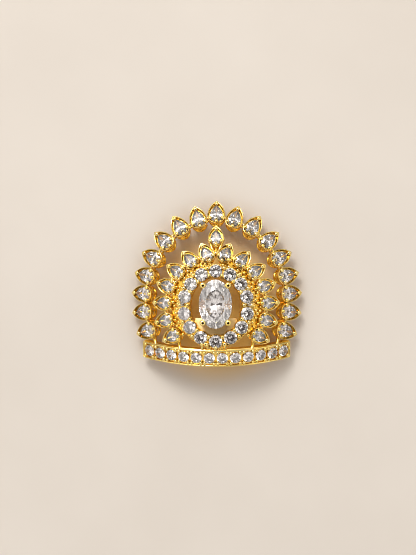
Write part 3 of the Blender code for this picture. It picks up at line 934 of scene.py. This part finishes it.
def edge_bead_places():
    """Frames of the small beads that run round the halo's outer edge."""
    return [seat(*on_halo(angle, EDGE_BEAD_OUT), 0, -HALO_TOP_DROP) for angle in turns(EDGE_BEADS)]


def cell_bead_places():
    """Frames of the beads in the four corners of each cell of the band."""
    corners = [(side * CELL_CORNER_OUT, level * CELL_CORNER_UP) for side in (1, -1) for level in (1, -1)]
    places = [(arc + out, BAND_HEIGHT / 2 + up) for arc in cell_arcs(BAND_STONES) for out, up in corners]
    return [on_band(arc, BEAD_RISE / 2, z) for arc, z in places]


def drills(seats, width, face_share, drop, depth):
    """Cones with their middles this far down, which cut a narrowing hole under each round stone."""
    mesh = bmesh.new()
    for place in seats:
        bmesh.ops.create_cone(
            mesh, cap_ends=True, segments=DRILL_SIDES, radius1=width * DRILL_BACK,
            radius2=width * face_share, depth=depth, matrix=place @ Matrix.Translation((0, 0, -drop)),
        )
    return mesh


def halo_plate():
    """The plate under the halo stones, with a hole under each."""
    section = (
        (-HALO_INNER_EDGE, HALO_TOP_DROP + PLATE_EDGE),
        (-HALO_INNER_EDGE + PLATE_EDGE, HALO_TOP_DROP),
        (HALO_OUTER_EDGE - PLATE_EDGE, HALO_TOP_DROP),
        (HALO_OUTER_EDGE, HALO_TOP_DROP + PLATE_EDGE),
        (HALO_OUTER_EDGE, HALO_DEPTH),
        (-HALO_INNER_EDGE - HALO_INNER_FLARE, HALO_DEPTH),
    )
    rings = []
    for angle in turns(HALO_STEPS):
        rings.append([behind_dome(*on_halo(angle, out), drop) for out, drop in section])
    mesh = bmesh.new()
    skin(mesh, rings)
    plate = new_object("halo_plate", mesh)
    holes = drills(halo_seats(), HALO_STONE, HALO_DRILL_FACE, HALO_DEPTH / 2, HALO_DEPTH * HALO_DRILL_DEPTH)
    cut_away(plate, new_object("halo_drills", holes))
    return plate


def band_arcs(short=0.0):
    """Places along the band from one end to the other, this much short of both."""
    half = ((BAND_STONES - 1) * BAND_PITCH + BAND_STONE) / 2 + BAND_END_WALL - short
    return [half * (2 * k / BAND_STEPS - 1) for k in range(BAND_STEPS + 1)]


def band_plate():
    """The band's body, with a hole under each stone and a slot between each two cells."""
    section = [
        (0, PLATE_EDGE), (PLATE_EDGE, 0),
        (BAND_THICKNESS - PLATE_EDGE, 0), (BAND_THICKNESS, PLATE_EDGE),
        (BAND_THICKNESS, BAND_HEIGHT - PLATE_EDGE), (BAND_THICKNESS - PLATE_EDGE, BAND_HEIGHT),
        (PLATE_EDGE, BAND_HEIGHT), (0, BAND_HEIGHT - PLATE_EDGE),
    ]
    rings = []
    for arc in band_arcs():
        rings.append([on_band(arc, -behind - BAND_FACE_DROP, z).translation for behind, z in section])
    mesh = bmesh.new()
    skin(mesh, rings, closed=False)
    plate = new_object("band_plate", mesh)
    drop, depth = BAND_THICKNESS * BAND_DRILL_DROP, BAND_THICKNESS * BAND_DRILL_DEPTH
    holes = drills(band_seats(), BAND_STONE, BAND_DRILL_FACE, drop, depth)
    size = Matrix.Diagonal((CELL_SLOT, CELL_SLOT_HEIGHT, CELL_SLOT_DEPTH, 1))
    for arc in cell_arcs(BAND_STONES - 1):
        bmesh.ops.create_cube(holes, size=1, matrix=on_band(arc, 0, BAND_HEIGHT / 2) @ size)
    cut_away(plate, new_object("band_drills", holes))
    return plate


def dome_sheet(name, columns):
    """A sheet through columns of points, facing out of the crown."""
    mesh = bmesh.new()
    lines = [[mesh.verts.new(point) for point in column] for column in columns]
    for one, other in zip(lines, lines[1:]):
        for a, b, c, d in zip(one, one[1:], other[1:], other):
            mesh.faces.new((a, d, c, b))
    mesh.normal_update()
    if sum(face.normal.z for face in mesh.faces) < 0:
        bmesh.ops.reverse_faces(mesh, faces=mesh.faces)
    return new_object(name, mesh, turn_out=False)


def dome_plate(name, columns, thickness):
    """A plate behind columns of points, with its edges rounded."""
    obj = dome_sheet(name, columns)
    wall = obj.modifiers.new("Wall", "SOLIDIFY")
    wall.thickness, wall.offset = thickness, -1
    edge = obj.modifiers.new("Edge", "BEVEL")
    edge.width, edge.segments, edge.limit_method = PLATE_BEVEL, 2, "ANGLE"
    edge.angle_limit = BEVEL_FROM
    return settled(obj)


def bridge_plate():
    """The plate behind the centre stone's lower half, from the halo's inner edge to a straight top."""
    columns = [[] for _ in range(BRIDGE_STEPS + 1)]
    for k, column in enumerate(columns):
        angle = math.pi + BRIDGE_HALF_TURN * (1 - 2 * k / BRIDGE_STEPS)
        x, low = on_halo(angle, -HALO_INNER_EDGE + BRIDGE_HOLD)
        for j in range(BRIDGE_ROWS + 1):
            h = low + (BRIDGE_TOP - low) * j / BRIDGE_ROWS
            lean = BRIDGE_TILT * (2 * (h - BRIDGE_FOOT) / (BRIDGE_TOP - BRIDGE_FOOT) - 1)
            column.append(behind_dome(x, h, BRIDGE_DROP + lean))
    return dome_plate("bridge_plate", columns, BRIDGE_THICKNESS)


def web_columns(side, drop):
    """Points from the halo's outer edge outwards, column by column, down one side of the halo."""
    columns = []
    outs = [WEB_FROM + WEB_WIDTH * j / WEB_ROWS for j in range(WEB_ROWS + 1)]
    for k in range(WEB_STEPS + 1):
        angle = side * (WEB_START + (WEB_END - WEB_START) * k / WEB_STEPS)
        columns.append([behind_dome(*on_halo(angle, out), drop) for out in outs])
    return columns


def claw_paths():
    """Each claw rises from the bridge plate or the halo's wall and leans in over the stone's edge."""
    place = centre_seat()
    reach = CLAW_PLACE * math.sqrt(0.5) / 2
    paths, balls = [], []
    for sx, sy in ((1, 1), (-1, 1), (-1, -1), (1, -1)):
        x, y = sx * CENTRE_STONE[0] * reach, sy * CENTRE_STONE[1] * reach
        foot_x, foot_h = x * CLAW_FOOT_OUT[0], HALO_CENTRE + CENTRE_LIFT + y * CLAW_FOOT_OUT[1]
        foot = behind_dome(foot_x, foot_h, BRIDGE_DROP + BRIDGE_THICKNESS / 2)
        top = place @ Vector((x, y, CLAW_TOP))
        path = [foot.lerp(top, share) for share in CLAW_SHARES]
        paths.append((path, [CLAW_RADIUS * swell for swell in CLAW_SWELL]))
        balls.append(place @ Matrix.Translation((x * CLAW_BALL_IN, y * CLAW_BALL_IN, CLAW_BALL_TOP)))
    return paths, balls


def link_paths():
    """The bars between the arches, between neighbouring cups, and from the arches down to the band."""
    outer, inner = outer_seats(), inner_seats()
    deep = -FRAME_DEPTH / 2
    outer_round = Vector((0, (OUTER_STONE[0] - OUTER_STONE[1]) / 2, deep))
    inner_round = Vector((0, (INNER_STONE[0] - INNER_STONE[1]) / 2, deep))
    middle_outer, middle_inner = len(outer) // 2, len(inner) // 2
    paths = []

    def bar(start, end, radius=LINK_RADIUS):
        path = [start.lerp(end, share) for share in LINK_SHARES]
        paths.append((path, [radius * swell for swell in LINK_SWELL]))

    def to_band(start):
        standing = LYING.inverted() @ start
        arc = FOOT_RADIUS * math.asin(standing.x / FOOT_RADIUS)
        bar(start, on_band(arc, -BAND_THICKNESS / 2, BAND_HEIGHT - LINK_BAND_DROP).translation)

    def valley(seats, spot, one, other):
        return (seats[one] @ spot + seats[other] @ spot) / 2

    top = inner[middle_inner]
    tip_out = Vector((0, INNER_STONE[1] / 2 + LINK_TIP_OUT, deep))
    foot_out = Vector((0, -OUTER_STONE[1] / 2 - LINK_WALL, deep))
    stem = Vector((0, -INNER_STONE[1] / 2, deep))
    bar(top @ tip_out, outer[middle_outer] @ foot_out)
    bar(top @ stem, valley(inner, inner_round, middle_inner - 1, middle_inner + 1))
    for side in (1, -1):
        for cup in (INNER_SIDE_CUPS - 2, INNER_SIDE_CUPS - 1):
            one, other = middle_outer + side * (cup + 1), middle_outer + side * (cup + 2)
            bar(inner[middle_inner + side * cup] @ tip_out, valley(outer, outer_round, one, other))
        wall = Vector((side * (OUTER_STONE[0] / 2 + LINK_WALL), 0, 0))
        to_band(outer[middle_outer + side * OUTER_SIDE_CUPS] @ (outer_round + wall))
        wall = Vector((side * (INNER_STONE[0] / 2 + LINK_WALL), 0, 0))
        to_band(inner[middle_inner + side * INNER_SIDE_CUPS] @ (inner_round + wall))
    for seats, stone in ((outer, OUTER_STONE), (inner, INNER_STONE)):
        spot = Vector((0, (stone[0] - stone[1]) / 2, -NEIGHBOUR_DROP))
        side = Vector((stone[0] / 2 + NEIGHBOUR_OUT, 0, 0))
        low = Vector((0, 0, -LOW_DROP))
        for one, other in zip(seats, seats[1:]):
            bar(one @ (spot + side), other @ (spot - side), NEIGHBOUR_RADIUS)
            bar(one @ (spot + side * LOW_IN + low), other @ (spot - side * LOW_IN + low), LOW_RADIUS)
    return paths


def brace_paths():
    paths = []
    for radius, wire in FOOT_WIRES:
        path = [behind_dome(x * MM, h * MM, BRACE_DROP) for x, h in wire]
        paths.append((path, [radius * MM] * len(wire)))
    return paths


def rail_paths():
    """The rail round the band's face, along its foot and back along its top."""
    arcs = band_arcs(RAIL_RADIUS)
    corners = [on_band(arc, 0, RAIL_RADIUS).translation for arc in arcs]
    corners += [on_band(arc, 0, BAND_HEIGHT - RAIL_RADIUS).translation for arc in reversed(arcs)]
    corners.append(corners[0])
    return [(corners, [RAIL_RADIUS] * len(corners))]


def mark_recess(obj):
    """Stores how deep each point lies behind the dome: 0 at the face, and 1 from RECESS_DEPTH on. The gold
    uses it for painted shade in its colour and for roughness.
    """
    back = LYING.inverted()
    depths = []
    for vertex in obj.data.vertices:
        point = back @ vertex.co
        x = min(abs(point.x), FOOT_RADIUS * DOME_REACH)
        z = max(0.0, min(point.z, RISE_RADIUS * DOME_REACH))
        gap = point.y - fall(FOOT_RADIUS, x) - fall(RISE_RADIUS, z)
        slope = 1 + math.tan(math.asin(x / FOOT_RADIUS)) ** 2 + math.tan(math.asin(z / RISE_RADIUS)) ** 2
        depths.append(max(0.0, min(1.0, gap / math.sqrt(slope) / RECESS_DEPTH)))
    store(obj.data, "recess", "FLOAT", depths)


# The crown

def keep(obj, slot, *nodes):
    """Makes a finished piece part of the crown, in place of these nodes of the model."""
    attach(obj, "root")
    if nodes:
        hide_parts(*nodes)


def copies(name, seats, piece, finish):
    """One copy of a piece on each seat. The piece itself goes."""
    row = grown(name, seat_points(name, seats), rows, Piece=piece, Finish=finish)
    bpy.data.objects.remove(piece, do_unlink=True)
    return row


def cast_beads(name, seats, ball, post_length, sizes=None, **shape):
    """One bead on each seat."""
    points = seat_points(name, seats, sizes)
    return grown(name, points, beads, Ball=ball, Post_Length=post_length, Finish=polished, **shape)


def cast_wires(name, paths, sides, finish):
    """One wire along each path."""
    return grown(name, wire_paths(name, paths), wires, Sides=sides, Finish=finish)


polished = gold("polished_gold", roughness=0.03, grain=0.12 * MM, grain_strength=0.05)
cast = gold("cast_gold", roughness=0.08, grain=0.09 * MM, grain_strength=0.12)
satin = gold(
    "satin_gold", roughness=0.34, grain=0.15 * MM, grain_strength=0.05, recess_shade_share=0.15,
    bright=PLATE_BRIGHT, warm=PLATE_WARM,
)
crystal = clear_stone("clear_stone_cut", STONE_CLEARNESS)
centre_crystal = clear_stone("clear_centre_cut", CENTRE_CLEARNESS)
beads, rows, wires, filler = bead_growth(), row_growth(), wire_growth(), filler_growth()

gold_pieces = []
stone_pieces = {}
for name, stone, seats, collar_reach in (
    ("outer_pear", OUTER_STONE, outer_seats(), 1.0),
    ("inner_pear", INNER_STONE, inner_seats(), INNER_REACH),
):
    cup = pear_setting(name + "_cup", stone, collar_reach)
    gold_pieces.append(copies(name + "_cups", seats, cup, cast))
    stone_pieces[name] = copies(name + "_stones", seats, pear_stone(name + "_cut", stone), crystal)
    prongs, sizes = prong_places(seats, stone, collar_reach)
    gold_pieces.append(cast_beads(name + "_prongs", prongs, PRONG_BALL, PRONG_POST, sizes))

for name, width, seats in (
    ("halo_round", HALO_STONE, halo_seats()),
    ("band_round", BAND_STONE, band_seats()),
):
    collar = round_setting(name + "_collar", width)
    gold_pieces.append(copies(name + "_collars", seats, collar, cast))
    stone_pieces[name] = copies(name + "_stones", seats, oval_stone(name + "_cut", width, width), crystal)

side_seats = []
for side in (1, -1):
    spot = on_halo(side * SIDE_STONE_ANGLE, SIDE_STONE_OUT)
    side_seats.append(seat(*spot, math.pi / 2, SIDE_STONE_RISE))
side_cut = oval_stone("side_cut", *SIDE_STONE)
stone_pieces["halo_side"] = copies("halo_side_stones", side_seats, side_cut, crystal)
centre_cut = oval_stone(
    "centre_cut", *CENTRE_STONE, CENTRE_SIDES, pavilion_share=CENTRE_PAVILION_SHARE, tiers=True,
    mains=CENTRE_FACETS,
)
stone_pieces["centre_oval"] = copies("centre_stone", [centre_seat()], centre_cut, centre_crystal)

plain_beads = [seat(x * MM, h * MM, 0, BEAD_RISE) for x, h in FOOT_BEADS]
plain_beads += [seat(x * MM, h * MM, 0, STEM_BEAD_RISE) for x, h in STEM_BEADS]
claws, claw_balls = claw_paths()
gold_pieces += [
    cast_beads("halo_beads", halo_bead_places() + plain_beads, BEAD_BALL, BEAD_POST),
    cast_beads("edge_beads", edge_bead_places(), EDGE_BEAD_BALL, EDGE_BEAD_POST),
    cast_beads("cell_beads", cell_bead_places(), CELL_BEAD_BALL, CELL_BEAD_POST),
    cast_beads("claw_balls", claw_balls, CLAW_BALL, CLAW_BALL_POST, Rings=CLAW_RINGS, Flatness=CLAW_FLATNESS),
    cast_wires("claws", claws, CLAW_SIDES, polished),
    cast_wires("links", link_paths(), LINK_SIDES, cast),
    cast_wires("foot_braces", brace_paths(), WIRE_SIDES, polished),
    cast_wires("band_rails", rail_paths(), WIRE_SIDES, polished),
]

plates = [halo_plate(), band_plate(), bridge_plate()]
for side, name in ((1, "web_right"), (-1, "web_left")):
    plates.append(dome_plate(name, web_columns(side, WEB_DROP), WEB_THICKNESS))
    spread = dome_sheet(name + "_beads", web_columns(side, WEB_BEAD_DROP))
    gold_pieces.append(grown(name + "_beads", spread, filler, Finish=polished))
for plate in plates:
    plate.data.materials.clear()
    plate.data.materials.append(satin if plate.name == "bridge_plate" else cast)
    soften(plate)
gold_pieces += plates

for obj in gold_pieces:
    mark_recess(obj)
    keep(obj, "gold_plated_brass", "cast_frame")
for name, obj in stone_pieces.items():
    keep(obj, "clear_stone", *[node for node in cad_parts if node.startswith(name)])


# Floor, light and camera

ground = bmesh.new()
bmesh.ops.create_grid(ground, x_segments=1, y_segments=1, size=FLOOR_HALF_WIDTH)
floor = new_object("floor", ground)
floor.data.materials.append(pale_floor())

around = Shading(bpy.data.worlds.new("studio"))
scene.world = around.owner
ways = around.node("ShaderNodeTexCoord", output="Generated")
shade = around.facing(ways, *SHADE_PATCH)
window = around.facing(ways, *WINDOW_PATCH)
ceiling = around.facing(ways, *CEILING_PATCH)
background = around.tree.nodes["Background"]
around.link(around.between(shade, AIR_COLOUR, SHADE_COLOUR), background.inputs["Color"])
around.link(AROUND + ceiling * CEILING_LIGHT + window * WINDOW_LIGHT, background.inputs["Strength"])

key = bpy.data.lights.new("key_light", "AREA")
key.shape, key.size, key.energy, key.color = "SQUARE", KEY_SIZE, KEY_POWER, KEY_COLOUR
softbox = placed("key_light", key)
softbox.location = KEY_PLACE
softbox.rotation_euler = (-softbox.location).to_track_quat("-Z", "Y").to_euler()

up = (LYING.to_3x3() @ DRAWN_UP).normalized()
sight = (Matrix.Rotation(VIEW_TURN, 3, up) @ LYING.to_3x3() @ SIGHT).normalized()
target = LYING @ (Vector((VIEW_ACROSS, 0, 0)) + DRAWN_UP * VIEW_UP + SIGHT * VIEW_DEPTH)
lens = bpy.data.cameras.new("camera")
lens.sensor_fit, lens.sensor_width = "HORIZONTAL", SENSOR_WIDTH
lens.lens = SENSOR_WIDTH * CAMERA_DISTANCE / VIEW_WIDTH
lens.clip_start = NEAREST_SEEN
camera = placed("camera", lens)
turned = Matrix((sight.cross(up), up, -sight)).transposed().to_4x4()
camera.matrix_world = Matrix.Translation(target - sight * CAMERA_DISTANCE) @ turned
scene.camera = camera

scene.view_settings.view_transform = "Standard"
scene.cycles.filter_width = PIXEL_BLUR
